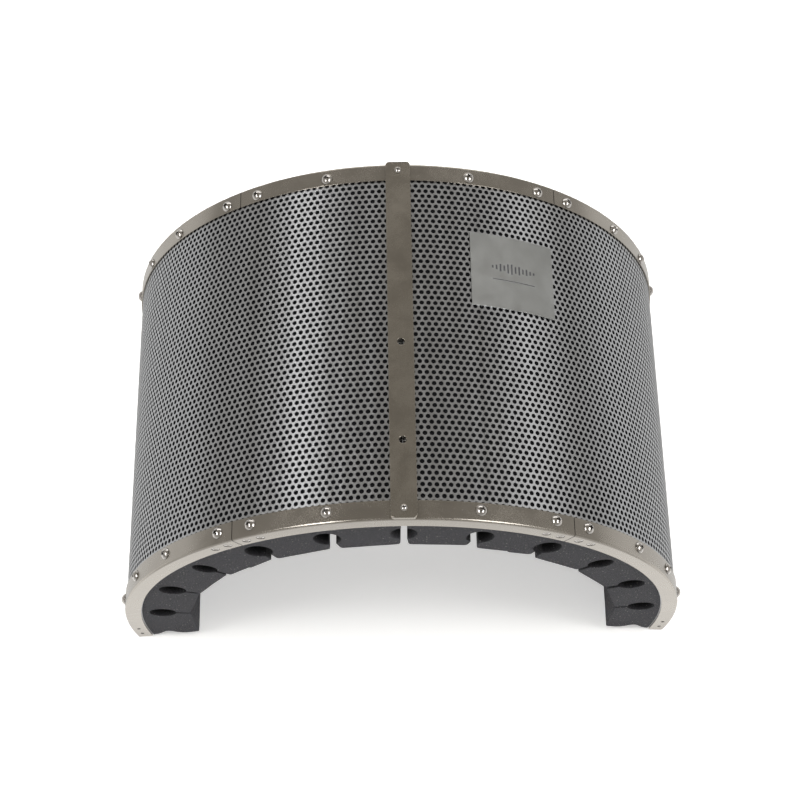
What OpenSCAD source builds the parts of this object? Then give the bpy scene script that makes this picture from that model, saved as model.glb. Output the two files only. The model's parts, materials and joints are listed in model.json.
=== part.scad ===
// Curved acoustic shield that stands behind a studio microphone.
// A perforated outer sheet, a fleece core and a liner make a thin sandwich.
// Three angle trims close each rim, a flat strip carries the stand bracket,
// and two keyholed foam panels line the hollow side.
// Units are millimetres. +Z runs up the shield, -Y is the convex outside.
// Places on the shield are given by arc length from the middle of the outer
// sheet's outer face, and by depth from that face towards the hollow side.

/* [Shield] */
// Overall height between the two rim faces
height = 288; // [200:1:340]
// Radius of the outer sheet's outer face
shell_r = 218; // [205:1:260]
// Arc length from the middle to the seam between two trims
seam_s = 127.7; // [124:0.1:130]
// Arc length from the middle to the free end
end_s = 381; // [372:0.5:390]

/* [Outer sheet] */
// Thickness of the perforated outer sheet
sheet_t = 1; // [0.8:0.1:1.2]
// Depth of the lip folded in at each free end
lip_depth = 10.9; // [8:0.1:11]

/* [Rim trims] */
// Thickness of the angle trims
trim_t = 1.2; // [1:0.1:1.5]
// Height of the trim band that lies on the outer sheet
band_h = 14.4; // [13:0.1:18]
// Depth of the trim flange's inner edge
flange_depth = 11.5; // [11:0.1:11.6]
// Outside bend radius of the trims
bend_r = 1.7; // [1.6:0.1:2.2]
// Gap between neighbouring trims at a seam
seam_gap = 0.4; // [0.2:0.1:0.8]

/* [Rim fasteners] */
// Arc lengths of the rim screws, each used on both sides
rim_screw_s = [54, 112.3, 141.2, 199.4, 253.8, 310.8];
// Distance of the rim screws from the rim face
rim_screw_inset = 8.7; // [8.5:0.1:9.5]
// Diameter of a rim screw's shank
rim_screw_d = 4; // [3.5:0.1:4]
// Diameter of a rim screw's domed head
rim_head_d = 8.8; // [7:0.1:9.4]
// Height of a rim screw's domed head
rim_head_h = 3.0; // [2.2:0.1:3.2]
// Length of a rim screw's shank
rim_screw_l = 8; // [7:0.5:9]
// Distances of the flange screws from the seam and of the open holes from the free end
flange_screw_from_end = [8.6, 20.7];
// Depth of the flange screws
flange_screw_depth = 5; // [4.6:0.1:5.4]
// Diameter of a flange screw's shank
flange_screw_d = 3; // [2.5:0.1:3]
// Diameter of a flange screw's countersunk head
flange_head_d = 5.6; // [5:0.1:5.8]
// Diameter of the open holes at the free ends of the flanges
end_hole_d = 2.8; // [2:0.1:3.2]

/* [Stand strip] */
// Width of the strip down the middle of the outside
strip_w = 18.6; // [16:0.2:22]
// Thickness of the strip
strip_t = 3.4; // [2.5:0.1:4]
// Corner radius of the strip
strip_r = 3; // [2:0.5:5]
// Height of the lower bracket hole above the bottom rim face
bracket_low_z = 58.5; // [50:0.5:70]
// Distance between the two bracket holes
bracket_pitch = 77; // [60:0.5:100]
// Diameter of the bracket holes
bracket_hole_d = 5.3; // [5.2:0.1:5.6]
// Distance of the strip's own screws from the rim faces
strip_screw_inset = 7.4; // [7:0.1:8]

/* [Plate] */
// Arc length of the plate's near edge
plate_s0 = 53.3; // [30:0.1:60]
// Width of the plate along the arc
plate_w = 68.5; // [40:0.5:68.5]
// Height of the plate
plate_h = 61.6; // [30:0.2:80]
// Height of the plate's lower edge above the bottom rim face
plate_z0 = 170.6; // [100:0.2:180]
// Thickness of the plate
plate_t = 0.8; // [0.5:0.1:1]

/* [Core and foam] */
// Thickness of the perforated inner liner
liner_t = 0.8; // [0.6:0.1:0.8]
// Depth of the liner's outer face
liner_depth = 11.25; // [11.2:0.05:11.3]
// Depth of the foam's outer face
foam_back = 12.2; // [12.2:0.1:13]
// Depth of the foam's inner face
foam_face = 50; // [45:0.5:56]
// Gap between the foam's end faces and the rim faces
foam_inset = 1; // [0.5:0.1:3]
// Arc distance between the keyhole slots
key_pitch = 63.8; // [61:0.1:63.8]
// Diameter of the keyhole slots' round hollow
key_d = 21; // [16:0.5:21]
// Depth of the hollow's centre
key_depth = 28; // [26:0.5:30]
// Width of the slit from the hollow to the foam's inner face
slit_w = 4; // [2:0.5:8]
// Gap between the two foam panels
panel_gap = 8; // [4:0.5:10]

/* [Hidden] */
$fn = 96;
gap = 0.05;                             // assembly clearance between touching sheets
strip_face = trim_t + gap + strip_t;    // strip's outer face, outside the sheet's face
strip_head_h = 1.9;
// the origin sits under the middle of the whole shield's box
y_min = -(strip_face + strip_head_h);
y_max = shell_r - (shell_r + trim_t) * cos(end_s / shell_r * 180 / PI);
axis_y = shell_r - (y_min + y_max) / 2;  // the shell's axis is on x = 0, y = axis_y

steel = [0.66, 0.63, 0.60];
bright = [0.82, 0.80, 0.77];
zinc = [0.72, 0.72, 0.73];
plate_grey = [0.62, 0.63, 0.62];
charcoal = [0.27, 0.27, 0.29];
fleece_black = [0.10, 0.10, 0.11];

// heading of the outside normal at arc length s, in degrees from -Y towards +X
function heading(s) = s / shell_r * 180 / PI;
// puts children at arc length s and depth d; local -Y looks outwards
module place(s, d, z) {
    translate([0, axis_y, z]) rotate([0, 0, heading(s)]) translate([0, d - shell_r, 0]) children();
}
// a screw or hole axis that points outwards along local +Z
module outward() { rotate([90, 0, 0]) children(); }

// upright curved slab of height h, from depth d0 to d1, that spans arc lengths s0 to s1
module slab(h, d0, d1, s0, s1) {
    reach = 2 * shell_r;
    translate([0, axis_y, 0]) linear_extrude(h) intersection() {
        difference() { circle(r = shell_r - d0); circle(r = shell_r - d1); }
        polygon([[0, 0], for (k = [0:6]) let (a = heading(s0 + (s1 - s0) * k / 6))
                 [reach * sin(a), -reach * cos(a)]]);
    }
}

// ---- outer sheet ----
module outer_sheet() {
    z0 = trim_t + gap;
    h = height - 2 * z0;
    color(steel) difference() {
        translate([0, 0, z0]) union() {
            slab(h, 0, sheet_t, -end_s, end_s);
            slab(h, sheet_t / 2, lip_depth, end_s - sheet_t, end_s);
            slab(h, sheet_t / 2, lip_depth, -end_s, -end_s + sheet_t);
        }
        for (z = [rim_screw_inset, height - rim_screw_inset], s = rim_screw_s, side = [-1, 1])
            place(side * s, 3, z) outward() cylinder(d = rim_screw_d + 0.4, h = 6, $fn = 32);
        for (z = [strip_screw_inset, height - strip_screw_inset])
            place(0, 3, z) outward() cylinder(d = 3.4, h = 6, $fn = 32);
        for (z = [bracket_low_z, bracket_low_z + bracket_pitch])
            place(0, 3, z) outward() cylinder(d = bracket_hole_d + 1, h = 6, $fn = 32);
    }
}

// ---- rim trims ----
// section of an angle trim whose band's outer face is at radius r
module trim_profile(r) {
    translate([r - trim_t, bend_r]) square([trim_t, band_h - bend_r]);
    translate([r - trim_t - flange_depth, 0]) square([trim_t + flange_depth - bend_r, trim_t]);
    translate([r - bend_r, bend_r]) intersection() {
        difference() { circle(r = bend_r, $fn = 48); circle(r = bend_r - trim_t, $fn = 48); }
        translate([0, -bend_r]) square([bend_r, bend_r]);
    }
}
// countersunk hole that opens at the rim face
module flange_hole() {
    translate([0, 0, -1]) cylinder(d = flange_screw_d + 0.3, h = 4, $fn = 32);
    translate([0, 0, -0.2])
        cylinder(d1 = flange_head_d + 0.6, d2 = flange_screw_d, h = (flange_head_d - flange_screw_d + 0.6) / 2, $fn = 32);
}
// plain hole for a fixing at a free end
module end_hole() {
    translate([0, 0, -1]) cylinder(d = end_hole_d, h = 4, $fn = 32);
}
// bottom trim from arc length s0 to s1, without its holes
module trim_bar(s0, s1) {
    translate([0, axis_y, 0]) rotate([0, 0, heading(s0) - 90])
        rotate_extrude(angle = heading(s1 - s0), $fn = 180) trim_profile(shell_r + trim_t);
}
module band_hole(s) {
    place(s, 3, rim_screw_inset) outward() cylinder(d = rim_screw_d + 0.3, h = 8, $fn = 32);
}
// a wing trim on the right-hand bottom rim; the others are mirrored from it
module wing_trim() {
    difference() {
        trim_bar(seam_s + seam_gap / 2, end_s);
        for (s = rim_screw_s) if (s > seam_s) band_hole(s);
        for (e = flange_screw_from_end) {
            place(seam_s + e, flange_screw_depth, 0) flange_hole();
            place(end_s - e, flange_screw_depth, 0) end_hole();
        }
    }
}
module centre_trim() {
    difference() {
        trim_bar(-seam_s + seam_gap / 2, seam_s - seam_gap / 2);
        for (s = rim_screw_s, side = [-1, 1]) if (s < seam_s) band_hole(side * s);
        place(0, 3, strip_screw_inset) outward() cylinder(d = 3.3, h = 8, $fn = 32);
        for (e = flange_screw_from_end, side = [-1, 1])
            place(side * (seam_s - e), flange_screw_depth, 0) flange_hole();
    }
}
module at_top() { translate([0, 0, height]) mirror([0, 0, 1]) children(); }
module at_left() { mirror([1, 0, 0]) children(); }

module bottom_trim_right() { color(bright) wing_trim(); }
module bottom_trim_left() { color(bright) at_left() wing_trim(); }
module bottom_trim_centre() { color(bright) centre_trim(); }
module top_trim_right() { color(bright) at_top() wing_trim(); }
module top_trim_left() { color(bright) at_top() at_left() wing_trim(); }
module top_trim_centre() { color(bright) at_top() centre_trim(); }

// ---- splice plates behind the flanges ----
module splice() {
    over = flange_screw_from_end[1] + 5;
    difference() {
        translate([0, 0, trim_t + gap])
            slab(2, sheet_t + 0.6, 10.4, seam_s - over, seam_s + over);
        for (e = flange_screw_from_end, side = [-1, 1])
            place(seam_s + side * e, flange_screw_depth, 0) cylinder(d = flange_screw_d + 0.1, h = 6, $fn = 32);
    }
}
module splice_bottom_right() { color(zinc) splice(); }
module splice_bottom_left() { color(zinc) at_left() splice(); }
module splice_top_right() { color(zinc) at_top() splice(); }
module splice_top_left() { color(zinc) at_top() at_left() splice(); }

// ---- stand strip ----
module rounded_bar(w, h, r) {
    translate([-w / 2, r]) square([w, h - 2 * r]);
    translate([-w / 2 + r, 0]) square([w - 2 * r, h]);
    for (x = [-w / 2 + r, w / 2 - r], y = [r, h - r]) translate([x, y]) circle(r = r, $fn = 48);
}
module stand_strip() {
    color(steel) difference() {
        translate([0, axis_y - shell_r - trim_t - gap, 0]) rotate([90, 0, 0])
            linear_extrude(strip_t) rounded_bar(strip_w, height, strip_r);
        for (z = [bracket_low_z, bracket_low_z + bracket_pitch])
            place(0, 0, z) outward() cylinder(d = bracket_hole_d, h = 10, $fn = 48);
        for (z = [strip_screw_inset, height - strip_screw_inset])
            place(0, 0, z) outward() cylinder(d = 3.3, h = 10, $fn = 32);
    }
}

// ---- plate ----
module name_plate() {
    color(plate_grey) translate([0, 0, plate_z0])
        slab(plate_h, -gap - plate_t, -gap, plate_s0, plate_s0 + plate_w);
}

// ---- fasteners ----
// domed cross-recess screw; the head sits on z = 0 and the shank runs down
module dome_screw(head_d, head_h, shank_d, shank_l) {
    ball = (pow(head_d / 2, 2) + pow(head_h, 2)) / (2 * head_h) * 1.02;
    difference() {
        union() {
            intersection() {
                cylinder(d = head_d, h = head_h, $fn = 48);
                translate([0, 0, head_h - ball]) sphere(r = ball, $fn = 64);
            }
            translate([0, 0, -shank_l]) cylinder(d = shank_d, h = shank_l + 0.2, $fn = 32);
        }
        for (a = [0, 90]) rotate([0, 0, a])
            translate([-0.24 * head_d, -0.055 * head_d, head_h * 0.42])
                cube([0.48 * head_d, 0.11 * head_d, head_h]);
    }
}
module hex_nut(flats, thick, bore) {
    difference() {
        rotate([0, 0, 30]) cylinder(d = flats / cos(30), h = thick, $fn = 6);
        translate([0, 0, -1]) cylinder(d = bore, h = thick + 2, $fn = 32);
    }
}
module rim_screws() {
    for (s = rim_screw_s, side = [-1, 1])
        place(side * s, -trim_t - 0.02, rim_screw_inset) outward()
            dome_screw(rim_head_d, rim_head_h, rim_screw_d, rim_screw_l);
}
module rim_nuts() {
    for (s = rim_screw_s, side = [-1, 1])
        place(side * s, sheet_t + gap + 3.2, rim_screw_inset) outward()
            hex_nut(7, 3.2, rim_screw_d + 0.1);
}
module rim_screws_bottom() { color(zinc) rim_screws(); }
module rim_screws_top() { color(zinc) at_top() rim_screws(); }
module rim_nuts_bottom() { color(zinc) rim_nuts(); }
module rim_nuts_top() { color(zinc) at_top() rim_nuts(); }

// countersunk screw; the head's face is level with z = 0.15 and the shank runs up
module flat_screw() {
    cone = (flange_head_d - flange_screw_d) / 2;
    difference() {
        union() {
            cylinder(d1 = flange_head_d, d2 = flange_screw_d, h = cone, $fn = 32);
            cylinder(d = flange_screw_d, h = 4.6, $fn = 32);
        }
        for (a = [0, 90]) rotate([0, 0, a])
            translate([-0.24 * flange_head_d, -0.06 * flange_head_d, -1])
                cube([0.48 * flange_head_d, 0.12 * flange_head_d, 1.8]);
    }
}
module flange_screws() {
    for (e = flange_screw_from_end, side = [-1, 1], wing = [-1, 1])
        place(wing * (seam_s + side * e), flange_screw_depth, 0.15) flat_screw();
}
module flange_screws_bottom() { color(zinc) flange_screws(); }
module flange_screws_top() { color(zinc) at_top() flange_screws(); }

module strip_screws() {
    color(zinc) for (z = [strip_screw_inset, height - strip_screw_inset])
        place(0, -strip_face - 0.02, z) outward() dome_screw(5.6, strip_head_h - 0.02, 3, 10);
}
module strip_nuts() {
    color(zinc) for (z = [strip_screw_inset, height - strip_screw_inset])
        place(0, sheet_t + 0.1 + 2.4, z) outward() hex_nut(5.5, 2.4, 3.1);
}
module bracket_nuts() {
    color(zinc) for (z = [bracket_low_z, bracket_low_z + bracket_pitch])
        place(0, sheet_t + 0.1 + 4, z) outward() hex_nut(8, 4, 4.6);
}

// ---- fleece core and liner ----
module core_fleece() {
    color(fleece_black) difference() {
        translate([0, 0, 16])
            slab(height - 32, sheet_t + 0.3, liner_depth - 0.25, -end_s + 1.5, end_s - 1.5);
        for (z = [bracket_low_z, bracket_low_z + bracket_pitch])
            place(0, liner_depth + 2, z) outward() cylinder(d = 14, h = 16, $fn = 48);
    }
}
module inner_liner() {
    z0 = trim_t + 0.1;
    color(steel) translate([0, 0, z0])
        slab(height - 2 * z0, liner_depth, liner_depth + liner_t, -end_s + 1.2, end_s - 1.2);
}

// ---- foam panels ----
// right-hand panel: six blocks joined by thin webs behind five keyholes, with
// half a keyhole at each end
module foam_panel() {
    h = height - 2 * foam_inset;
    difference() {
        translate([0, 0, foam_inset])
            slab(h, foam_back, foam_face, panel_gap / 2, 6 * key_pitch - slit_w / 2);
        for (k = [0:6]) place(k * key_pitch, key_depth, -1) {
            cylinder(d = key_d, h = height + 2, $fn = 64);
            if (k > 0 && k < 6) translate([-slit_w / 2, 0, 0])
                cube([slit_w, foam_face - key_depth + 3, height + 2]);
        }
    }
}
module foam_right() { color(charcoal) foam_panel(); }
module foam_left() { color(charcoal) at_left() foam_panel(); }

outer_sheet();
bottom_trim_left();
bottom_trim_centre();
bottom_trim_right();
top_trim_left();
top_trim_centre();
top_trim_right();
splice_bottom_left();
splice_bottom_right();
splice_top_left();
splice_top_right();
stand_strip();
name_plate();
rim_screws_bottom();
rim_screws_top();
rim_nuts_bottom();
rim_nuts_top();
flange_screws_bottom();
flange_screws_top();
strip_screws();
strip_nuts();
bracket_nuts();
core_fleece();
inner_liner();
foam_left();
foam_right();
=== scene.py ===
import bpy, bmesh, json, math
import numpy as np
from mathutils import Vector, Matrix
from mathutils.geometry import delaunay_2d_cdt


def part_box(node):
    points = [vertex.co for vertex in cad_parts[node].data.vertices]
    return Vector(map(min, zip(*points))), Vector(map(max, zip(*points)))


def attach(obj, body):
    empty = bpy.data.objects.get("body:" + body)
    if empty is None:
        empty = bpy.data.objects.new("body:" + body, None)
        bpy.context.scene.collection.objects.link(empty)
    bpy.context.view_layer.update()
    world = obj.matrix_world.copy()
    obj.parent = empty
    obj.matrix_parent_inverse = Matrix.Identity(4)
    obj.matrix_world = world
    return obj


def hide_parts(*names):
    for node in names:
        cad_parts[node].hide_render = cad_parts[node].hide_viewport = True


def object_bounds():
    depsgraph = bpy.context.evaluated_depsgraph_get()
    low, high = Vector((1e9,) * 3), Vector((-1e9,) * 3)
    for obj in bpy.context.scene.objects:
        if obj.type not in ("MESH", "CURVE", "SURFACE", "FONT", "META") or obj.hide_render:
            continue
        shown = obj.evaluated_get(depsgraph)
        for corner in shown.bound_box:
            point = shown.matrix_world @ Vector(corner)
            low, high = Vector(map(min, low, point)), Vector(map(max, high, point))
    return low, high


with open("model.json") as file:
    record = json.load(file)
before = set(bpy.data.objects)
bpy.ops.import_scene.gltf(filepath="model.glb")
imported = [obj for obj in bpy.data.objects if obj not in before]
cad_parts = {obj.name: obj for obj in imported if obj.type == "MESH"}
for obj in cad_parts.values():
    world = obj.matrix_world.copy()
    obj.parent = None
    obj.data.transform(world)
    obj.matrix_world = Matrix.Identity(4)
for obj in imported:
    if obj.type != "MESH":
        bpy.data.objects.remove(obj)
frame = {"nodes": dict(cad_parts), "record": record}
cad_lo, cad_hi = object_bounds()
MM = 0.001

# ------------------------------------------------------------------ frame
# All lengths below are in millimetres in the row frame; arc lengths s run along the
# outer sheet's outer face from its middle, depths d run inwards from that face.
sheet_lo, sheet_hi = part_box("outer_sheet")
strip_lo, strip_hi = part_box("stand_strip")
R = sheet_hi.x / MM                                  # radius of the sheet's outer face
AY = sheet_lo.y / MM + R                             # y of the shell's axis
H = strip_hi.z / MM                                  # overall height
TRIM_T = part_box("bottom_trim_right")[1].x / MM - R   # trim thickness
END_S = 381.0
SEAM_S = 127.7
BAND_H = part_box("bottom_trim_centre")[1].z / MM
HOLE_Z = sorted(m["pos_m"][2] / MM for m in frame["record"]["mounts"] if m["name"] == "bracket_holes")[0]
BRACKET_Z = [HOLE_Z - 38.5, HOLE_Z + 38.5]
RIM_S = [54, 112.3, 141.2, 199.4, 253.8, 310.8]
RIM_INSET = 8.7
FLANGE_E = [8.6, 20.7]
FLANGE_D = 5.0


def plan(s, d):
    a = s / R
    return (R - d) * math.sin(a), AY - (R - d) * math.cos(a)


def local(s, d, z):
    """Matrix (mm) whose +Z points outwards from the shield, +X along the arc, +Y down."""
    a = s / R
    x, y = plan(s, d)
    out = Vector((math.sin(a), -math.cos(a), 0))
    tan = Vector((math.cos(a), math.sin(a), 0))
    m = Matrix((tan, out.cross(tan), out)).transposed().to_4x4()
    m.translation = Vector((x, y, z))
    return m


def link(ob):
    bpy.context.scene.collection.objects.link(ob)
    return ob


def raw_mesh(name, verts, faces, smooth=35):
    """verts (N,3) in mm, faces a list of (K, n) index arrays."""
    me = bpy.data.meshes.new(name)
    verts = np.asarray(verts, float) * MM
    loops = np.concatenate([np.asarray(f).ravel() for f in faces]).astype(np.int32)
    totals = np.concatenate([np.full(len(f), np.asarray(f).shape[1]) for f in faces]).astype(np.int32)
    starts = np.concatenate([[0], np.cumsum(totals)[:-1]]).astype(np.int32)
    me.vertices.add(len(verts))
    me.vertices.foreach_set("co", verts.astype(np.float32).ravel())
    me.loops.add(len(loops))
    me.loops.foreach_set("vertex_index", loops)
    me.polygons.add(len(starts))
    me.polygons.foreach_set("loop_start", starts)
    me.polygons.foreach_set("loop_total", totals)
    me.update(calc_edges=True)
    me.validate()
    me.polygons.foreach_set("use_smooth", np.ones(len(me.polygons), bool))
    if smooth:
        me.set_sharp_from_angle(angle=math.radians(smooth))
    return link(bpy.data.objects.new(name, me))


def from_bm(name, bm, smooth=35, scale=MM):
    bmesh.ops.scale(bm, vec=(scale,) * 3, verts=bm.verts)
    me = bpy.data.meshes.new(name)
    bm.to_mesh(me)
    bm.free()
    me.polygons.foreach_set("use_smooth", np.ones(len(me.polygons), bool))
    me.set_sharp_from_angle(angle=math.radians(smooth))
    return link(bpy.data.objects.new(name, me))


def apply_mods(ob, smooth=35):
    dg = bpy.context.evaluated_depsgraph_get()
    dg.update()
    me = bpy.data.meshes.new_from_object(ob.evaluated_get(dg))
    old = ob.data
    ob.modifiers.clear()
    ob.data = me
    bpy.data.meshes.remove(old)
    me.polygons.foreach_set("use_smooth", np.ones(len(me.polygons), bool))
    me.set_sharp_from_angle(angle=math.radians(smooth))


def even_normals(ob):
    """Shade the big flat faces as flat ones right up to their rounded edges."""
    m = ob.modifiers.new("even", "WEIGHTED_NORMAL")
    m.keep_sharp, m.weight, m.mode = True, 50, "FACE_AREA"
    dg = bpy.context.evaluated_depsgraph_get()
    dg.update()
    me = bpy.data.meshes.new_from_object(ob.evaluated_get(dg))
    old = ob.data
    ob.modifiers.clear()
    ob.data = me
    bpy.data.meshes.remove(old)


def cut(ob, cutter, smooth=35):
    m = ob.modifiers.new("cut", "BOOLEAN")
    m.operation, m.solver, m.object = "DIFFERENCE", "EXACT", cutter
    apply_mods(ob, smooth)
    bpy.data.objects.remove(cutter)


# ------------------------------------------------------------------ node helpers
class Mat:
    def __init__(self, name):
        self.m = bpy.data.materials.new(name)
        self.m.use_nodes = True
        self.t = self.m.node_tree
        self.t.nodes.clear()
        self.out = self.n("ShaderNodeOutputMaterial")
        self.p = self.n("ShaderNodeBsdfPrincipled")
        self.t.links.new(self.p.outputs[0], self.out.inputs["Surface"])

    def n(self, kind, **kw):
        node = self.t.nodes.new(kind)
        for k, v in kw.items():
            setattr(node, k, v)
        return node

    def put(self, node, key, value):
        s = node.inputs[key]
        if hasattr(value, "is_output") or isinstance(value, bpy.types.NodeSocket):
            self.t.links.new(value, s)
        else:
            s.default_value = value

    def math(self, op, a, b=None, c=None, clamp=False):
        n = self.n("ShaderNodeMath", operation=op, use_clamp=clamp)
        for i, v in enumerate((a, b, c)):
            if v is not None:
                self.put(n, i, v)
        return n.outputs[0]

    def ramp(self, fac, stops, interp="LINEAR"):
        n = self.n("ShaderNodeValToRGB")
        n.color_ramp.interpolation = interp
        e = n.color_ramp.elements
        while len(e) < len(stops):
            e.new(0.5)
        for i, (p, c) in enumerate(stops):
            e[i].position = p
            e[i].color = tuple(c) + (1,) if len(c) == 3 else c
        self.put(n, 0, fac)
        return n.outputs["Color"]

    def mapr(self, v, a, b, c, d):
        n = self.n("ShaderNodeMapRange")
        for i, x in enumerate((v, a, b, c, d)):
            self.put(n, i, x)
        return n.outputs[0]

    def noise(self, vec, scale, detail=3, rough=0.55, dist=0.0, out="Fac"):
        n = self.n("ShaderNodeTexNoise")
        self.put(n, "Vector", vec)
        self.put(n, "Scale", scale)
        self.put(n, "Detail", detail)
        self.put(n, "Roughness", rough)
        self.put(n, "Distortion", dist)
        return n.outputs[out]

    def mix(self, fac, a, b, mode="MIX"):
        n = self.n("ShaderNodeMix", data_type="RGBA", blend_type=mode)
        self.put(n, 0, fac)
        for i, v in ((6, a), (7, b)):
            if isinstance(v, tuple):
                v = v + (1,) if len(v) == 3 else v
            self.put(n, i, v)
        return n.outputs[2]

    def combine(self, x, y, z):
        n = self.n("ShaderNodeCombineXYZ")
        for i, v in enumerate((x, y, z)):
            self.put(n, i, v)
        return n.outputs[0]

    def bump(self, height, strength, distance, normal=None):
        n = self.n("ShaderNodeBump")
        self.put(n, "Height", height)
        self.put(n, "Strength", strength)
        self.put(n, "Distance", distance)
        if normal is not None:
            self.put(n, "Normal", normal)
        return n.outputs[0]

    def shield(self):
        """(s, z, depth) in millimetres, from the object coordinates."""
        tc = self.n("ShaderNodeTexCoord")
        sep = self.n("ShaderNodeSeparateXYZ")
        self.put(sep, 0, tc.outputs["Object"])
        x = self.math("MULTIPLY", sep.outputs[0], 1000)
        y = self.math("MULTIPLY_ADD", sep.outputs[1], -1000, AY)
        z = self.math("MULTIPLY", sep.outputs[2], 1000)
        a = self.math("ARCTAN2", x, y)
        s = self.math("MULTIPLY", a, R)
        r = self.math("SQRT", self.math("ADD", self.math("MULTIPLY", x, x), self.math("MULTIPLY", y, y)))
        d = self.math("SUBTRACT", R, r)
        return s, z, d, tc.outputs["Object"]

    def mm(self):
        tc = self.n("ShaderNodeTexCoord")
        v = self.n("ShaderNodeVectorMath", operation="SCALE")
        self.put(v, 0, tc.outputs["Object"])
        self.put(v, "Scale", 1000.0)
        return v.outputs[0]


def paint(ob, mat):
    ob.data.materials.clear()
    ob.data.materials.append(mat.m)


# ------------------------------------------------------------------ materials
def metal_trim(name, base, rough, brush=0.35, grain_axis="s"):
    """Satin nickel-toned steel: fine rolling lines, cloudy handling marks, tiny specks."""
    m = Mat(name)
    s, z, d, obj = m.shield()
    if grain_axis == "s":
        v = m.combine(m.math("MULTIPLY", s, 0.012), m.math("MULTIPLY", z, 2.2), m.math("MULTIPLY", d, 2.2))
    else:
        v = m.combine(m.math("MULTIPLY", s, 2.2), m.math("MULTIPLY", z, 0.012), m.math("MULTIPLY", d, 2.2))
    lines = m.noise(v, 1.0, 6, 0.7)
    cloud = m.noise(m.mm(), 0.035, 4, 0.6, 0.6)
    fine = m.noise(m.mm(), 1.3, 2, 0.6)
    speck = m.noise(m.mm(), 2.6, 1, 0.5)
    dots = m.mapr(speck, 0.68, 0.76, 0.0, 1.0)
    c1 = tuple(x * 0.90 for x in base)
    c2 = tuple(min(1, x * 1.07) for x in base)
    col = m.mix(m.mapr(cloud, 0.3, 0.7, 0, 1), c1, c2)
    col = m.mix(m.math("MULTIPLY", m.mapr(lines, 0.3, 0.7, 0, 1), 0.35), col, tuple(x * 0.82 for x in base))
    col = m.mix(m.math("MULTIPLY", dots, 0.25), col, tuple(x * 0.6 for x in base))
    # painted shade: ambient occlusion darkens the colour towards near black in the creases beside screws, seam gaps
    # and the strip
    ao = m.n("ShaderNodeAmbientOcclusion", samples=4, only_local=False)
    m.put(ao, "Distance", 0.0012)
    col = m.mix(m.mapr(ao.outputs["AO"], 0.3, 0.8, 0.85, 0.0), col, (0.03, 0.027, 0.024))
    m.put(m.p, "Base Color", col)
    m.put(m.p, "Metallic", 1.0)
    r = m.math("ADD", m.mapr(cloud, 0.25, 0.75, rough - 0.05, rough + 0.07), m.mapr(fine, 0.3, 0.7, -0.02, 0.03))
    m.put(m.p, "Roughness", r)
    h = m.math("ADD", m.math("MULTIPLY", lines, brush), m.math("MULTIPLY", fine, 0.25))
    m.put(m.p, "Normal", m.bump(h, 0.22, 0.00006))
    return m


def metal_sheet(name, base, rough):
    """Perforated sheet: mill-finish, faint vertical bands from the roll former."""
    m = Mat(name)
    s, z, d, obj = m.shield()
    bands = m.noise(m.combine(m.math("MULTIPLY", s, 0.11), m.math("MULTIPLY", z, 0.0015), 0.0), 1.0, 3, 0.6)
    cloud = m.noise(m.mm(), 0.03, 3, 0.6, 0.4)
    fine = m.noise(m.mm(), 1.6, 2, 0.6)
    col = m.mix(m.mapr(cloud, 0.3, 0.7, 0, 1), tuple(x * 0.93 for x in base), base)
    m.put(m.p, "Base Color", col)
    m.put(m.p, "Metallic", 1.0)
    m.put(m.p, "Roughness", m.math("ADD", m.mapr(bands, 0.3, 0.7, rough - 0.07, rough + 0.07), m.mapr(fine, 0.3, 0.7, -0.03, 0.03)))
    m.put(m.p, "Normal", m.bump(m.math("ADD", m.math("MULTIPLY", bands, 1.0), m.math("MULTIPLY", fine, 0.03)), 0.5, 0.0006))
    return m


def metal_bright(name, base, rough, marks=0.5):
    """Plated fastener steel, rougher down in its recesses, where painted shade also darkens it."""
    m = Mat(name)
    v = m.mm()
    n1 = m.noise(v, 0.7, 3, 0.6)
    n2 = m.noise(v, 4.0, 2, 0.6)
    col = m.mix(m.math("MULTIPLY", m.mapr(n1, 0.35, 0.7, 0, 1), marks), base, tuple(x * 0.78 for x in base))
    # painted shade: ambient occlusion darkens the colour towards near black down in the recesses; the same mask raises
    # the roughness there
    ao = m.n("ShaderNodeAmbientOcclusion", samples=6, only_local=False)
    m.put(ao, "Distance", 0.0015)
    crev = m.mapr(ao.outputs["AO"], 0.35, 0.85, 1.0, 0.0)
    col = m.mix(crev, col, (0.02, 0.018, 0.016))
    m.put(m.p, "Base Color", col)
    m.put(m.p, "Metallic", 1.0)
    m.put(m.p, "Roughness", m.math("ADD", m.mapr(n1, 0.3, 0.7, rough * 0.7, rough * 1.5), m.math("MULTIPLY", crev, 0.3)))
    m.put(m.p, "Normal", m.bump(n2, 0.12, 0.00004))
    return m


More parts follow.
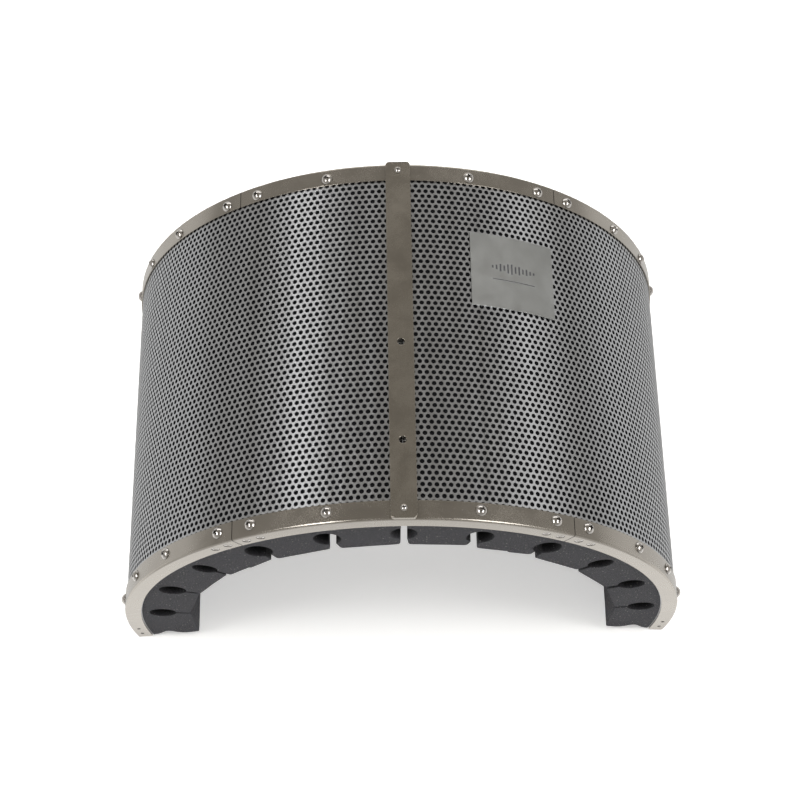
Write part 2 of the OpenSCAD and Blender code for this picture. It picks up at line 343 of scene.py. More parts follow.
def foam_mat(name, base):
    """Open-cell foam: pores, struts that catch the light, a few cells with a painted glint, painted shade down in its
    hollows.
    """
    m = Mat(name)
    v = m.mm()
    edge = m.n("ShaderNodeTexVoronoi", feature="DISTANCE_TO_EDGE")
    m.put(edge, "Vector", v)
    m.put(edge, "Scale", 1.3)
    strut = m.mapr(edge.outputs["Distance"], 0.0, 0.12, 1.0, 0.0)
    grain = m.noise(v, 0.95, 3, 0.7)
    fine = m.noise(v, 2.6, 3, 0.7)
    big = m.noise(v, 0.05, 3, 0.6)
    g = m.math("ADD", m.math("MULTIPLY", grain, 0.75), m.math("MULTIPLY", fine, 0.25))
    col = m.mix(m.mapr(g, 0.36, 0.64, 0, 1), tuple(x * 0.42 for x in base), tuple(min(1, x * 1.6) for x in base))
    col = m.mix(m.math("MULTIPLY", strut, 0.3), col, tuple(min(1, x * 2.0) for x in base))
    col = m.mix(m.mapr(big, 0.3, 0.7, 0, 0.2), col, tuple(x * 0.75 for x in base))
    cell = m.n("ShaderNodeTexVoronoi", feature="F1")
    m.put(cell, "Vector", v)
    m.put(cell, "Scale", 0.42)
    rnd = m.n("ShaderNodeSeparateColor")
    m.put(rnd, 0, cell.outputs["Color"])
    dot = m.mapr(cell.outputs["Distance"], 0.12, 0.24, 1.0, 0.0)
    lit = m.mapr(rnd.outputs[0], 0.45, 1.0, 0.0, 1.0)
    # painted glints: a bright dot at the middle of a few random cells
    spark = m.math("MULTIPLY", dot, lit)
    col = m.mix(m.math("MULTIPLY", spark, 0.95), col, (0.42, 0.42, 0.40))
    # painted shade: ambient occlusion darkens the foam towards near black down in the keyholes and slits
    ao = m.n("ShaderNodeAmbientOcclusion", samples=8, only_local=True)
    m.put(ao, "Distance", 0.03)
    col = m.mix(m.mapr(ao.outputs["AO"], 0.25, 0.85, 0.93, 0.0), col, (0.002, 0.002, 0.0024))
    m.put(m.p, "Base Color", col)
    m.put(m.p, "Roughness", 0.95)
    m.put(m.p, "Specular IOR Level", 0.12)
    m.put(m.p, "Sheen Weight", 0.08)
    m.put(m.p, "Sheen Roughness", 0.5)
    h = m.math("ADD", m.math("MULTIPLY", g, 0.8), m.math("MULTIPLY", strut, 0.3))
    m.put(m.p, "Normal", m.bump(h, 0.8, 0.0007))
    return m


def fleece_mat(name, base):
    m = Mat(name)
    v = m.mm()
    fibre = m.noise(v, 1.8, 5, 0.8, 2.0)
    col = m.mix(m.mapr(fibre, 0.35, 0.7, 0, 1), tuple(x * 0.5 for x in base), tuple(min(1, x * 1.8) for x in base))
    m.put(m.p, "Base Color", col)
    m.put(m.p, "Roughness", 1.0)
    m.put(m.p, "Specular IOR Level", 0.05)
    m.put(m.p, "Normal", m.bump(fibre, 0.8, 0.0006))
    return m


def plate_mat(name, base, z_mid, s_mid):
    """Satin aluminium plate with a small printed level-meter mark and a rule under it."""
    m = Mat(name)
    s, z, d, obj = m.shield()
    lines = m.noise(m.combine(m.math("MULTIPLY", s, 0.02), m.math("MULTIPLY", z, 3.0), 0.0), 1.0, 5, 0.7)
    cloud = m.noise(m.mm(), 0.06, 3, 0.6, 0.3)
    col = m.mix(m.mapr(cloud, 0.3, 0.7, 0, 1), tuple(x * 0.93 for x in base), tuple(min(1, x * 1.05) for x in base))
    col = m.mix(m.math("MULTIPLY", m.mapr(lines, 0.3, 0.7, 0, 1), 0.2), col, tuple(x * 0.85 for x in base))
    u = m.math("SUBTRACT", s, s_mid)
    w = m.math("SUBTRACT", z, z_mid)
    ink = None

    def add(a):
        nonlocal ink
        ink = a if ink is None else m.math("MAXIMUM", ink, a)

    def box(cx, cz, hw, hh, soft=0.16):
        ax = m.math("SUBTRACT", hw, m.math("ABSOLUTE", m.math("SUBTRACT", u, cx)))
        az = m.math("SUBTRACT", hh, m.math("ABSOLUTE", m.math("SUBTRACT", w, cz)))
        add(m.mapr(m.math("MINIMUM", ax, az), -soft, soft, 0, 1))

    heights = [1.6, 3.2, 5.6, 3.9, 7.0, 8.0, 5.0, 6.4, 3.4, 4.6, 2.6, 1.4]
    for i, hh in enumerate(heights):
        box((i - 5.5) * 3.1, 3.6, 0.75, hh * 0.5 + 0.4)
    box(0, -6.6, 17.5, 0.42)
    col = m.mix(ink, col, (0.035, 0.035, 0.04))
    m.put(m.p, "Base Color", col)
    m.put(m.p, "Metallic", m.math("SUBTRACT", 1.0, m.math("MULTIPLY", ink, 0.95)))
    m.put(m.p, "Roughness", m.math("ADD", m.mapr(cloud, 0.3, 0.7, 0.36, 0.46), m.math("MULTIPLY", ink, 0.15)))
    m.put(m.p, "Normal", m.bump(lines, 0.2, 0.00005))
    return m


WARM = (0.425, 0.392, 0.348)
M_TRIM = metal_trim("trim_steel", WARM, 0.24)
M_STRIP = metal_trim("strip_steel", (0.42, 0.385, 0.335), 0.26, grain_axis="z")
M_SHEET = metal_sheet("sheet_steel", (0.46, 0.465, 0.475), 0.33)
M_LINER = metal_sheet("liner_steel", (0.55, 0.55, 0.56), 0.45)
M_SCREW = metal_bright("screw_zinc", (0.60, 0.57, 0.54), 0.13)
M_NUT = metal_bright("nut_zinc", (0.66, 0.65, 0.64), 0.3)
M_SPLICE = metal_bright("splice_zinc", (0.62, 0.62, 0.62), 0.35)
M_FOAM = foam_mat("foam", (0.068, 0.068, 0.077))
M_FLEECE = fleece_mat("fleece", (0.006, 0.006, 0.007))


# ------------------------------------------------------------------ perforated sheets
PITCH, ROW = 5.0, 4.330
Z_REF, S_REF = 139.385, 3.3
HOLE_R = 1.75


def perforate(names, d0, t, z_lo, z_hi, z_first, z_last, s_cells, s_line, path, cuts, skip, n_ring=12, r=HOLE_R):
    """A curved sheet with real round holes, in len(names) neighbouring pieces.
    s_cells: holes run to +-s_cells; s_line: straight margin line beyond them; path(u) gives
    the plan point and outward normal of the outer face at path length u; cuts split pieces."""
    rows = [j for j in range(-40, 41) if z_first <= Z_REF - ROW * j <= z_last]
    verts, index = [], {}

    def vid(u, z):
        k = (round(u * 1000), round(z * 1000))
        if k not in index:
            index[k] = len(verts)
            verts.append((u, z))
        return index[k]

    faces5, faces4, faces6, own5, own4, own6 = [], [], [], [], [], []

    def owner(u):
        return sum(u > c for c in cuts)

    hexa = [(2.5, 1.4434), (0, 2.8868), (-2.5, 1.4434), (-2.5, -1.4434), (0, -2.8868), (2.5, -1.4434)]
    ring = [(r * math.cos(math.radians(30 + 360 / n_ring * q)), r * math.sin(math.radians(30 + 360 / n_ring * q))) for q in range(n_ring)]
    step = n_ring // 6
    ends = {}
    for j in rows:
        z = Z_REF - ROW * j
        off = (S_REF + 2.5 * j) % PITCH
        ms = [m for m in range(-200, 200) if -s_cells <= off + PITCH * m <= s_cells]
        ends[j] = (off + PITCH * ms[0], off + PITCH * ms[-1])
        for m in ms:
            u = off + PITCH * m
            p = owner(u)
            gone = any(math.hypot(u - a, z - b) < c for a, b, c in skip)
            if gone:
                continue
            hv = [vid(u + a, z + b) for a, b in hexa]
            base = len(verts)
            verts.extend((u + a, z + b) for a, b in ring)
            rv = [base + q for q in range(n_ring)]
            for i in range(6):
                inner = [rv[(i * step + q) % n_ring] for q in range(step, -1, -1)]
                f = [hv[i], hv[(i + 1) % 6]] + inner
                faces5.append(f)
                own5.append(p)
            # straight margins above and below the first and last rows
            if j == rows[0]:
                for a, b in ((0, 1), (1, 2)):
                    (ua, za), (ub, zb) = hexa[a], hexa[b]
                    faces4.append([vid(u + ub, z + zb), vid(u + ua, z + za), vid(u + ua, z_hi), vid(u + ub, z_hi)])
                    own4.append(p)
            if j == rows[-1]:
                for a, b in ((3, 4), (4, 5)):
                    (ua, za), (ub, zb) = hexa[a], hexa[b]
                    faces4.append([vid(u + ub, z + zb), vid(u + ua, z + za), vid(u + ua, z_lo), vid(u + ub, z_lo)])
                    own4.append(p)
    for side in (-1, 1):
        edge = lambda j: ends[j][0] - 2.5 if side < 0 else ends[j][1] + 2.5
        line = side * s_line
        levels = [z_hi]
        zs = []
        for j in rows:
            z = Z_REF - ROW * j
            zs += [(edge(j), z + 1.4434), (edge(j), z - 1.4434)]
        zs = [(zs[0][0], z_hi)] + zs + [(zs[-1][0], z_lo)]
        p = owner(line)
        for (ua, za), (ub, zb) in zip(zs[:-1], zs[1:]):
            q = [vid(ua, za), vid(ub, zb), vid(line, zb), vid(line, za)]
            faces4.append(q if side > 0 else q[::-1])
            own4.append(p)
        zl = [z for _, z in zs]
        us = [u for u in path.extra if u > s_line]
        prev = line
        for u in us:
            for za, zb in zip(zl[:-1], zl[1:]):
                q = [vid(prev, za), vid(prev, zb), vid(side * u, zb), vid(side * u, za)]
                faces4.append(q if side > 0 else q[::-1])
                own4.append(p)
            prev = side * u
    V = np.array(verts)
    pts, nrm = path(V[:, 0])
    front = np.column_stack([pts - d0 * nrm, V[:, 1]])
    back = np.column_stack([pts - (d0 + t) * nrm, V[:, 1]])
    P3 = np.concatenate([front, back])
    N = len(V)
    F5, F4 = np.array(faces5), np.array(faces4)
    O5, O4 = np.array(own5), np.array(own4)
    made = []
    for k, name in enumerate(names):
        f5, f4 = F5[O5 == k], F4[O4 == k]
        e = np.concatenate([np.column_stack([f[:, i], f[:, (i + 1) % f.shape[1]]]) for f in (f5, f4) for i in range(f.shape[1])])
        key = e[:, 0].astype(np.int64) * (N + 1) + e[:, 1]
        rev = e[:, 1].astype(np.int64) * (N + 1) + e[:, 0]
        be = e[~np.isin(key, rev)]
        walls = np.column_stack([be[:, 1], be[:, 0], be[:, 0] + N, be[:, 1] + N])
        groups = [f5, f4, f5[:, ::-1] + N, f4[:, ::-1] + N, walls]
        used = np.unique(np.concatenate([g.ravel() for g in groups]))
        remap = np.full(2 * N, -1)
        remap[used] = np.arange(len(used))
        made.append(raw_mesh(name, P3[used], [remap[g] for g in groups]))
    return made


class SheetPath:
    """Arc, then a small bend at each free end, then a lip that runs straight inwards."""

    def __init__(self, rb=1.6, lip=10.9):
        self.rb, self.ub = rb, END_S - rb
        arc = rb * math.pi / 2
        self.ul = self.ub + arc
        self.extra = [self.ub] + [self.ub + arc * k / 6 for k in range(1, 7)] + [self.ul + (lip - rb)]

    def __call__(self, u):
        side = np.sign(u)
        w = np.abs(u)
        a = np.minimum(w, self.ub) / R
        n = np.column_stack([np.sin(a), -np.cos(a)])
        p = np.column_stack([R * np.sin(a), AY - R * np.cos(a)])
        ab = self.ub / R
        tb = np.array([math.cos(ab), math.sin(ab)])
        nb = np.array([math.sin(ab), -math.cos(ab)])
        pb = np.array([R * math.sin(ab), AY - R * math.cos(ab)])
        th = np.clip((w - self.ub) / self.rb, 0, math.pi / 2)
        c = pb - self.rb * nb
        bend_n = np.cos(th)[:, None] * nb + np.sin(th)[:, None] * tb
        bend_p = c + self.rb * bend_n
        over = np.maximum(w - self.ul, 0)
        bend_p = bend_p - over[:, None] * nb
        beyond = (w > self.ub + 1e-9)[:, None]
        p = np.where(beyond, bend_p, p)
        n = np.where(beyond, bend_n, n)
        p[:, 0] *= side + (side == 0)
        n[:, 0] *= side + (side == 0)
        return p, n


class ArcPath:
    extra = []

    def __call__(self, u):
        a = u / R
        n = np.column_stack([np.sin(a), -np.cos(a)])
        return np.column_stack([R * np.sin(a), AY - R * np.cos(a)]), n


z0 = sheet_lo.z / MM
sheets = perforate(
    ["outer_sheet_left", "outer_sheet_middle", "outer_sheet_right"], 0.0, 1.0, z0, H - z0,
    BAND_H - 1.5, H - BAND_H + 1.5, END_S - 7, END_S - 3.2, SheetPath(), [-SEAM_S, SEAM_S],
    [(0, z, 4.2) for z in BRACKET_Z])
for ob in sheets:
    paint(ob, M_SHEET)
    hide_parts("outer_sheet")
    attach(ob, "root")

ll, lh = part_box("inner_liner")
LD = 11.25


def liner():
    """Inner liner, holed where the gap between the foam panels shows it."""
    path = ArcPath()
    zl, zh = ll.z / MM, lh.z / MM
    parts = perforate(["inner_liner_look"], LD, 0.8, zl, zh, 9, H - 9, 15, 20, path, [], [])
    ob = parts[0]
    bm = bmesh.new()
    bm.from_mesh(ob.data)
    bmesh.ops.scale(bm, vec=(1000,) * 3, verts=bm.verts)
    for side in (-1, 1):
        cols = np.linspace(20, END_S - 1.2, 73)
        prev = None
        for c in cols:
            ring = []
            for d in (LD, LD + 0.8):
                x, y = plan(side * c, d)
                ring += [bm.verts.new((x, y, zl)), bm.verts.new((x, y, zh))]
            if prev:
                a, b = prev, ring
                for q in ((a[0], b[0], b[1], a[1]), (a[2], a[3], b[3], b[2]), (a[0], a[2], b[2], b[0]), (a[1], b[1], b[3], a[3])):
                    bm.faces.new(q)
            else:
                first = ring
            prev = ring
        bm.faces.new((prev[0], prev[2], prev[3], prev[1]))
        bm.faces.new((first[0], first[1], first[3], first[2]))
    bmesh.ops.recalc_face_normals(bm, faces=bm.faces)
    old = ob.data
    name = ob.name
    bpy.data.objects.remove(ob)
    bpy.data.meshes.remove(old)
    return from_bm(name, bm)


lin = liner()
paint(lin, M_LINER)
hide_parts("inner_liner")
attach(lin, "root")


# ------------------------------------------------------------------ rim trims
def arc_pts(cx, cz, r, a0, a1, n):
    return [(cx + r * math.cos(math.radians(a0 + (a1 - a0) * k / n)), cz + r * math.sin(math.radians(a0 + (a1 - a0) * k / n))) for k in range(n + 1)]


def trim_profile():
    """Angle section as (depth, z), anticlockwise seen with depth to the right."""
    t, rb, fd, e = TRIM_T, 1.7, 11.5, 0.22
    pts = arc_pts(-t + rb, rb, rb, 180, 270, 8)
    pts += arc_pts(fd - e, e, e, 270, 360, 3)
    pts += arc_pts(fd - e, t - e, e, 0, 90, 3)
    pts += [(0.5, t)]
    pts += arc_pts(0.5, t + 0.5, 0.5, 270, 180, 4)[1:]
    pts += arc_pts(-e, BAND_H - e, e, 0, 90, 3)
    pts += arc_pts(-t + e, BAND_H - e, e, 90, 180, 3)
    return pts


def prism_sweep(bm, prof, s0, s1, n):
    rings = []
    for k in range(n + 1):
        s = s0 + (s1 - s0) * k / n
        rings.append([bm.verts.new((*plan(s, d), z)) for d, z in prof])
    m = len(prof)
    for a, b in zip(rings[:-1], rings[1:]):
        for i in range(m):
            bm.faces.new((a[i], a[(i + 1) % m], b[(i + 1) % m], b[i]))
    bm.faces.new(rings[0][::-1])
    bm.faces.new(rings[-1])


def cyl(bm, mat, r1, r2, z0, z1, n=24):
    a = [bm.verts.new(mat @ Vector((r1 * math.cos(2 * math.pi * k / n), r1 * math.sin(2 * math.pi * k / n), z0))) for k in range(n)]
    b = [bm.verts.new(mat @ Vector((r2 * math.cos(2 * math.pi * k / n), r2 * math.sin(2 * math.pi * k / n), z1))) for k in range(n)]
    for k in range(n):
        bm.faces.new((a[k], a[(k + 1) % n], b[(k + 1) % n], b[k]))
    bm.faces.new(a[::-1])
    bm.faces.new(b)


def upright(s, d, z):
    x, y = plan(s, d)
    return Matrix.Translation((x, y, z))


def trim(name, s0, s1, top):
    bm = bmesh.new()
    prism_sweep(bm, trim_profile(), s0, s1, 60)
    bmesh.ops.recalc_face_normals(bm, faces=bm.faces)
    ob = from_bm(name, bm, 30)
    cb = bmesh.new()
    for side in (-1, 1):
        for s in RIM_S:
            if s0 < side * s < s1:
                cyl(cb, local(side * s, 0, RIM_INSET), 2.15, 2.15, -4, 6, 24)
    if s0 < 0 < s1:
        cyl(cb, local(0, 0, 7.4), 1.65, 1.65, -4, 6, 20)
    for side in (-1, 1):
        for e in FLANGE_E:
            for s in (side * (SEAM_S - e), side * (SEAM_S + e)):
                if s0 < s < s1:
                    cyl(cb, upright(s, FLANGE_D, 0), 3.15, 3.15, -1, 0.26, 28)
                    cyl(cb, upright(s, FLANGE_D, 0), 3.15, 1.65, 0.25, 1.5, 28)
                    cyl(cb, upright(s, FLANGE_D, 0), 1.66, 1.66, 1.0, 3, 28)
            s = side * (END_S - e)
            if s0 < s < s1:
                cyl(cb, upright(s, FLANGE_D, 0), 1.4, 1.4, -1, 3, 24)
    bmesh.ops.recalc_face_normals(cb, faces=cb.faces)
    cut(ob, from_bm("cutter", cb), 30)
    if top:
        bm = bmesh.new()
        bm.from_mesh(ob.data)
        for v in bm.verts:
            v.co.z = H * MM - v.co.z
        bmesh.ops.reverse_faces(bm, faces=bm.faces)
        bm.to_mesh(ob.data)
        bm.free()
        ob.data.set_sharp_from_angle(angle=math.radians(30))
    even_normals(ob)
    return ob


g = 0.3
for top, word in ((False, "bottom"), (True, "top")):
    for part, a, b in (("left", -END_S, -SEAM_S - g), ("centre", -SEAM_S + g, SEAM_S - g), ("right", SEAM_S + g, END_S)):
        ob = trim(f"{word}_trim_{part}_look", a, b, top)
        paint(ob, M_TRIM)
        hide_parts(f"{word}_trim_{part}")
        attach(ob, "root")


# ------------------------------------------------------------------ stand strip
def strip_ob():
    w = (strip_hi.x - strip_lo.x) / MM
    y0, y1 = strip_lo.y / MM, strip_hi.y / MM
    r = 3.0
    pts = arc_pts(w / 2 - r, r, r, -90, 0, 8) + arc_pts(w / 2 - r, H - r, r, 0, 90, 8)
    pts += arc_pts(-w / 2 + r, H - r, r, 90, 180, 8) + arc_pts(-w / 2 + r, r, r, 180, 270, 8)
    bm = bmesh.new()
    a = [bm.verts.new((x, y0, z)) for x, z in pts]
    b = [bm.verts.new((x, y1, z)) for x, z in pts]
    n = len(pts)
    for k in range(n):
        bm.faces.new((a[k], b[k], b[(k + 1) % n], a[(k + 1) % n]))
    bm.faces.new(a)
    bm.faces.new(b[::-1])
    bmesh.ops.recalc_face_normals(bm, faces=bm.faces)
    ob = from_bm("stand_strip_look", bm)
    cb = bmesh.new()
    for z in BRACKET_Z:
        cyl(cb, local(0, 0, z), 2.65, 2.65, -5, 12, 40)
    for z in (7.4, H - 7.4):
        cyl(cb, local(0, 0, z), 1.65, 1.65, -5, 12, 24)
    bmesh.ops.recalc_face_normals(cb, faces=cb.faces)
    cut(ob, from_bm("cutter", cb))
    m = ob.modifiers.new("bevel", "BEVEL")
    m.width, m.segments, m.limit_method, m.angle_limit = 0.35 * MM, 3, "ANGLE", math.radians(50)
    m.use_clamp_overlap = True
    apply_mods(ob, 40)
    even_normals(ob)
    return ob


strip = strip_ob()
paint(strip, M_STRIP)
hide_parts("stand_strip")
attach(strip, "root")


# ------------------------------------------------------------------ plate
def plate_ob():
    lo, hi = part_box("name_plate")
    zl, zh = lo.z / MM, hi.z / MM
    s0p = 53.3
    s1p = s0p + 68.5
    t, e = 0.8, 0.2
    o = 0.05
    prof = arc_pts(-o - t + e, zl + e, e, 180, 270, 3) + [(-o, zl), (-o, zh)] + arc_pts(-o - t + e, zh - e, e, 90, 180, 3)
    bm = bmesh.new()
    prism_sweep(bm, prof, s0p, s1p, 40)
    bmesh.ops.recalc_face_normals(bm, faces=bm.faces)
    return from_bm("name_plate_look", bm, 40), (zl + zh) / 2, (s0p + s1p) / 2


plate, pz, ps = plate_ob()
M_PLATE = plate_mat("plate_alu", (0.49, 0.50, 0.495), pz, ps)
even_normals(plate)
paint(plate, M_PLATE)
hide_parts("name_plate")
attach(plate, "root")


# ------------------------------------------------------------------ screws
def cross_cutter(bm, mat, arm, width, top, depth, taper):
    a, w = arm, width
    plus = [(w, w), (a, w), (a, -w), (w, -w), (w, -a), (-w, -a), (-w, -w), (-a, -w), (-a, w), (-w, w), (-w, a), (w, a)]
    plus = plus[::-1]
    up = [bm.verts.new(mat @ Vector((x, y, top + 2))) for x, y in plus]
    mid = [bm.verts.new(mat @ Vector((x, y, top))) for x, y in plus]
    lo = [bm.verts.new(mat @ Vector((x * taper, y * (taper if abs(y) > w else 0.8), top - depth))) for x, y in [(p[0], p[1]) for p in plus]]
    lo2 = []
    for v, (x, y) in zip(lo, plus):
        sx = taper if abs(x) > w * 1.01 else 0.75
        sy = taper if abs(y) > w * 1.01 else 0.75
        v.co = mat @ Vector((x * sx, y * sy, top - depth))
    n = len(plus)
    for A, B in ((up, mid), (mid, lo)):
        for k in range(n):
            bm.faces.new((A[k], A[(k + 1) % n], B[(k + 1) % n], B[k]))
    bm.faces.new(up[::-1])
    bm.faces.new(lo)


def lathe(bm, prof, n):
    rings = []
    for r, z in prof:
        if r < 1e-6:
            rings.append([bm.verts.new((0, 0, z))])
        else:
            rings.append([bm.verts.new((r * math.cos(2 * math.pi * k / n), r * math.sin(2 * math.pi * k / n), z)) for k in range(n)])
    for a, b in zip(rings[:-1], rings[1:]):
        for k in range(n):
            if len(a) == 1:
                bm.faces.new((a[0], b[k], b[(k + 1) % n]))
            elif len(b) == 1:
                bm.faces.new((a[k], b[0], a[(k + 1) % n]))
            else:
                bm.faces.new((a[k], b[k], b[(k + 1) % n], a[(k + 1) % n]))
    bmesh.ops.recalc_face_normals(bm, faces=bm.faces)


def dome_screw(head_d, head_h, shank_d, shank_l, n=36):
    hr = head_d / 2
    ball = (hr * hr + head_h * head_h) / (2 * head_h) * 1.02
    zc = head_h - ball
    e = 0.22
    prof = [(0, head_h)]
    amax = math.asin(min(1, (hr - 0.05) / ball))
    for k in range(1, 13):
        a = amax * k / 12
        prof.append((ball * math.sin(a), zc + ball * math.cos(a)))
    zl = prof[-1][1]
    prof += [(hr, max(zl - 0.12, 0.06)), (hr - 0.04, 0.0), (shank_d / 2, 0.0), (shank_d / 2, -shank_l + 0.3), (shank_d / 2 - 0.3, -shank_l), (0, -shank_l)]
    bm = bmesh.new()
    lathe(bm, prof, n)
    ob = from_bm("screw", bm)
    cb = bmesh.new()
    cross_cutter(cb, Matrix.Identity(4), 0.27 * head_d, 0.068 * head_d, head_h, 0.52 * head_h, 0.45)
    bmesh.ops.recalc_face_normals(cb, faces=cb.faces)
    cut(ob, from_bm("cutter", cb), 40)
    return ob


def flat_screw(head_d, shank_d, length, n=32):
    hr, sr = head_d / 2, shank_d / 2
    prof = [(0, 0.0), (hr - 0.12, 0.0), (hr, -0.1), (hr, -0.16), (sr, -0.16 - (hr - sr)), (sr, -length + 0.2), (sr - 0.2, -length), (0, -length)]
    bm = bmesh.new()
    lathe(bm, prof, n)
    ob = from_bm("screw", bm)
    cb = bmesh.new()
    cross_cutter(cb, Matrix.Identity(4), 0.31 * head_d, 0.105 * head_d, 0.0, 1.3, 0.5)
    bmesh.ops.recalc_face_normals(cb, faces=cb.faces)
    cut(ob, from_bm("cutter", cb), 40)
    return ob


def many(name, proto, places):
    """One mesh of several copies of proto (metres), each at a matrix in mm."""
    bm = bmesh.new()
    for m in places:
        tmp = bmesh.new()
        tmp.from_mesh(proto.data)
        mm = m.copy()
        mm.translation = mm.translation * MM
        tmp.transform(mm)
        me = bpy.data.meshes.new("tmp")
        tmp.to_mesh(me)
        tmp.free()
        bm.from_mesh(me)
        bpy.data.meshes.remove(me)
    return from_bm(name, bm, 40, 1.0)


def turned(m, k):
    return m @ Matrix.Rotation(0.35 + 2.39996 * k, 4, "Z")


rim_proto = dome_screw(8.8, 3.0, 4.0, 8.0)
strip_proto = dome_screw(5.6, 1.88, 3.0, 10.0)
flat_proto = flat_screw(5.6, 3.0, 4.4)
for word, zr in (("bottom", RIM_INSET), ("top", H - RIM_INSET)):
    pl = [turned(local(side * s, -TRIM_T - 0.02, zr), i * 2 + (side > 0) + (word == "top") * 5) for i, s in enumerate(RIM_S) for side in (-1, 1)]
    ob = many(f"rim_screws_{word}_look", rim_proto, pl)
    paint(ob, M_SCREW)
    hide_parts(f"rim_screws_{word}")
    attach(ob, "root")
    pl = []
    k = 0
    for side in (-1, 1):
        for e in FLANGE_E:
            for sg in (-1, 1):
                s = side * (SEAM_S + sg * e)
                x, y = plan(s, FLANGE_D)
                m = Matrix.Translation((x, y, 0.12 if word == "bottom" else H - 0.12))
                if word == "bottom":
                    m = m @ Matrix.Rotation(math.pi, 4, "X")
                pl.append(turned(m, k))
                k += 1
    ob = many(f"flange_screws_{word}_look", flat_proto, pl)
    paint(ob, M_SCREW)
    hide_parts(f"flange_screws_{word}")
    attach(ob, "root")
sf = -(strip_lo.y / MM - (AY - R))
pl = [turned(local(0, -sf - 0.02, z), k) for k, z in enumerate((7.4, H - 7.4))]
ob = many("strip_screws_look", strip_proto, pl)
paint(ob, M_SCREW)
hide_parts("strip_screws")
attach(ob, "root")
for o in (rim_proto, strip_proto, flat_proto):
    bpy.data.objects.remove(o)


# ------------------------------------------------------------------ foam panels
KEY_P, BACK = 63.8, 12.2
# Per panel, one row for each keyhole from the middle outwards: depth of the hollow's centre,
# its half width and half depth, then where the slit's near and far walls stand beside the
# centre line, each at the hollow and at the mouth (away from the middle is positive).
KEYS = {
    1: [(29.3, 9.6, 10.8, 0, 0, 2.6, 4.0), (30.2, 9.8, 11.2, -3.6, -3.8, 2.6, 4.6), (30.0, 9.6, 11.2, -2.6, -1.6, 3.4, 4.6),
        (28.0, 7.2, 10.4, -1.3, -1.2, 1.5, 2.2), (28.0, 9.0, 10.4, -1.8, -2.2, 2.6, 3.0), (27.6, 9.0, 10.6, -1.2, -1.2, 1.0, 1.2)],
    -1: [(29.3, 9.6, 10.8, 0, 0, 2.2, 2.4), (30.2, 9.8, 11.2, -3.6, -3.8, 2.4, 3.9), (29.6, 9.8, 11.0, -3.2, -1.8, 1.6, 2.4),
         (28.2, 6.4, 10.4, -1.2, -0.8, 1.0, 0.8), (28.0, 8.6, 10.6, -0.9, -0.7, 1.6, 0.7), (28.3, 8.6, 10.4, -0.8, -0.7, 0.8, 0.7)],
}
# depth of each block's two inner corners, near the middle first
FACES = {
    1: [(50.4, 47.9), (51.4, 48.0), (51.4, 48.8), (50.0, 48.6), (48.4, 47.8), (47.6, 47.8)],
    -1: [(49.8, 51.0), (49.7, 50.4), (49.0, 51.0), (48.6, 50.2), (49.6, 50.0), (50.0, 50.8)],
}
# a block with a cutting step across its face: arc length, then the face's shift on each side
STEPS = {(1, 1): (100.5, -0.8, 0.8), (-1, 2): (161.0, 0.7, -0.7)}
FREE_S, FREE_DIP = END_S + 0.4, 7.9


def fillet(a, b, c, r, n=5):
    """Points that round the corner b between a and c."""
    u, v = (a - b) / np.linalg.norm(a - b), (c - b) / np.linalg.norm(c - b)
    ang = math.acos(max(-1, min(1, float(u @ v))))
    if ang > math.radians(165):
        return [b]
    L = min(r / math.tan(ang / 2), 0.45 * np.linalg.norm(a - b), 0.45 * np.linalg.norm(c - b))
    rr = L * math.tan(ang / 2)
    bis = (u + v) / np.linalg.norm(u + v)
    cen = b + bis * (rr / math.sin(ang / 2))
    p, q = b + u * L - cen, b + v * L - cen
    a0, a1 = math.atan2(p[1], p[0]), math.atan2(q[1], q[0])
    da = (a1 - a0 + math.pi) % (2 * math.pi) - math.pi
    return [cen + rr * np.array([math.cos(a0 + da * k / n), math.sin(a0 + da * k / n)]) for k in range(n + 1)]


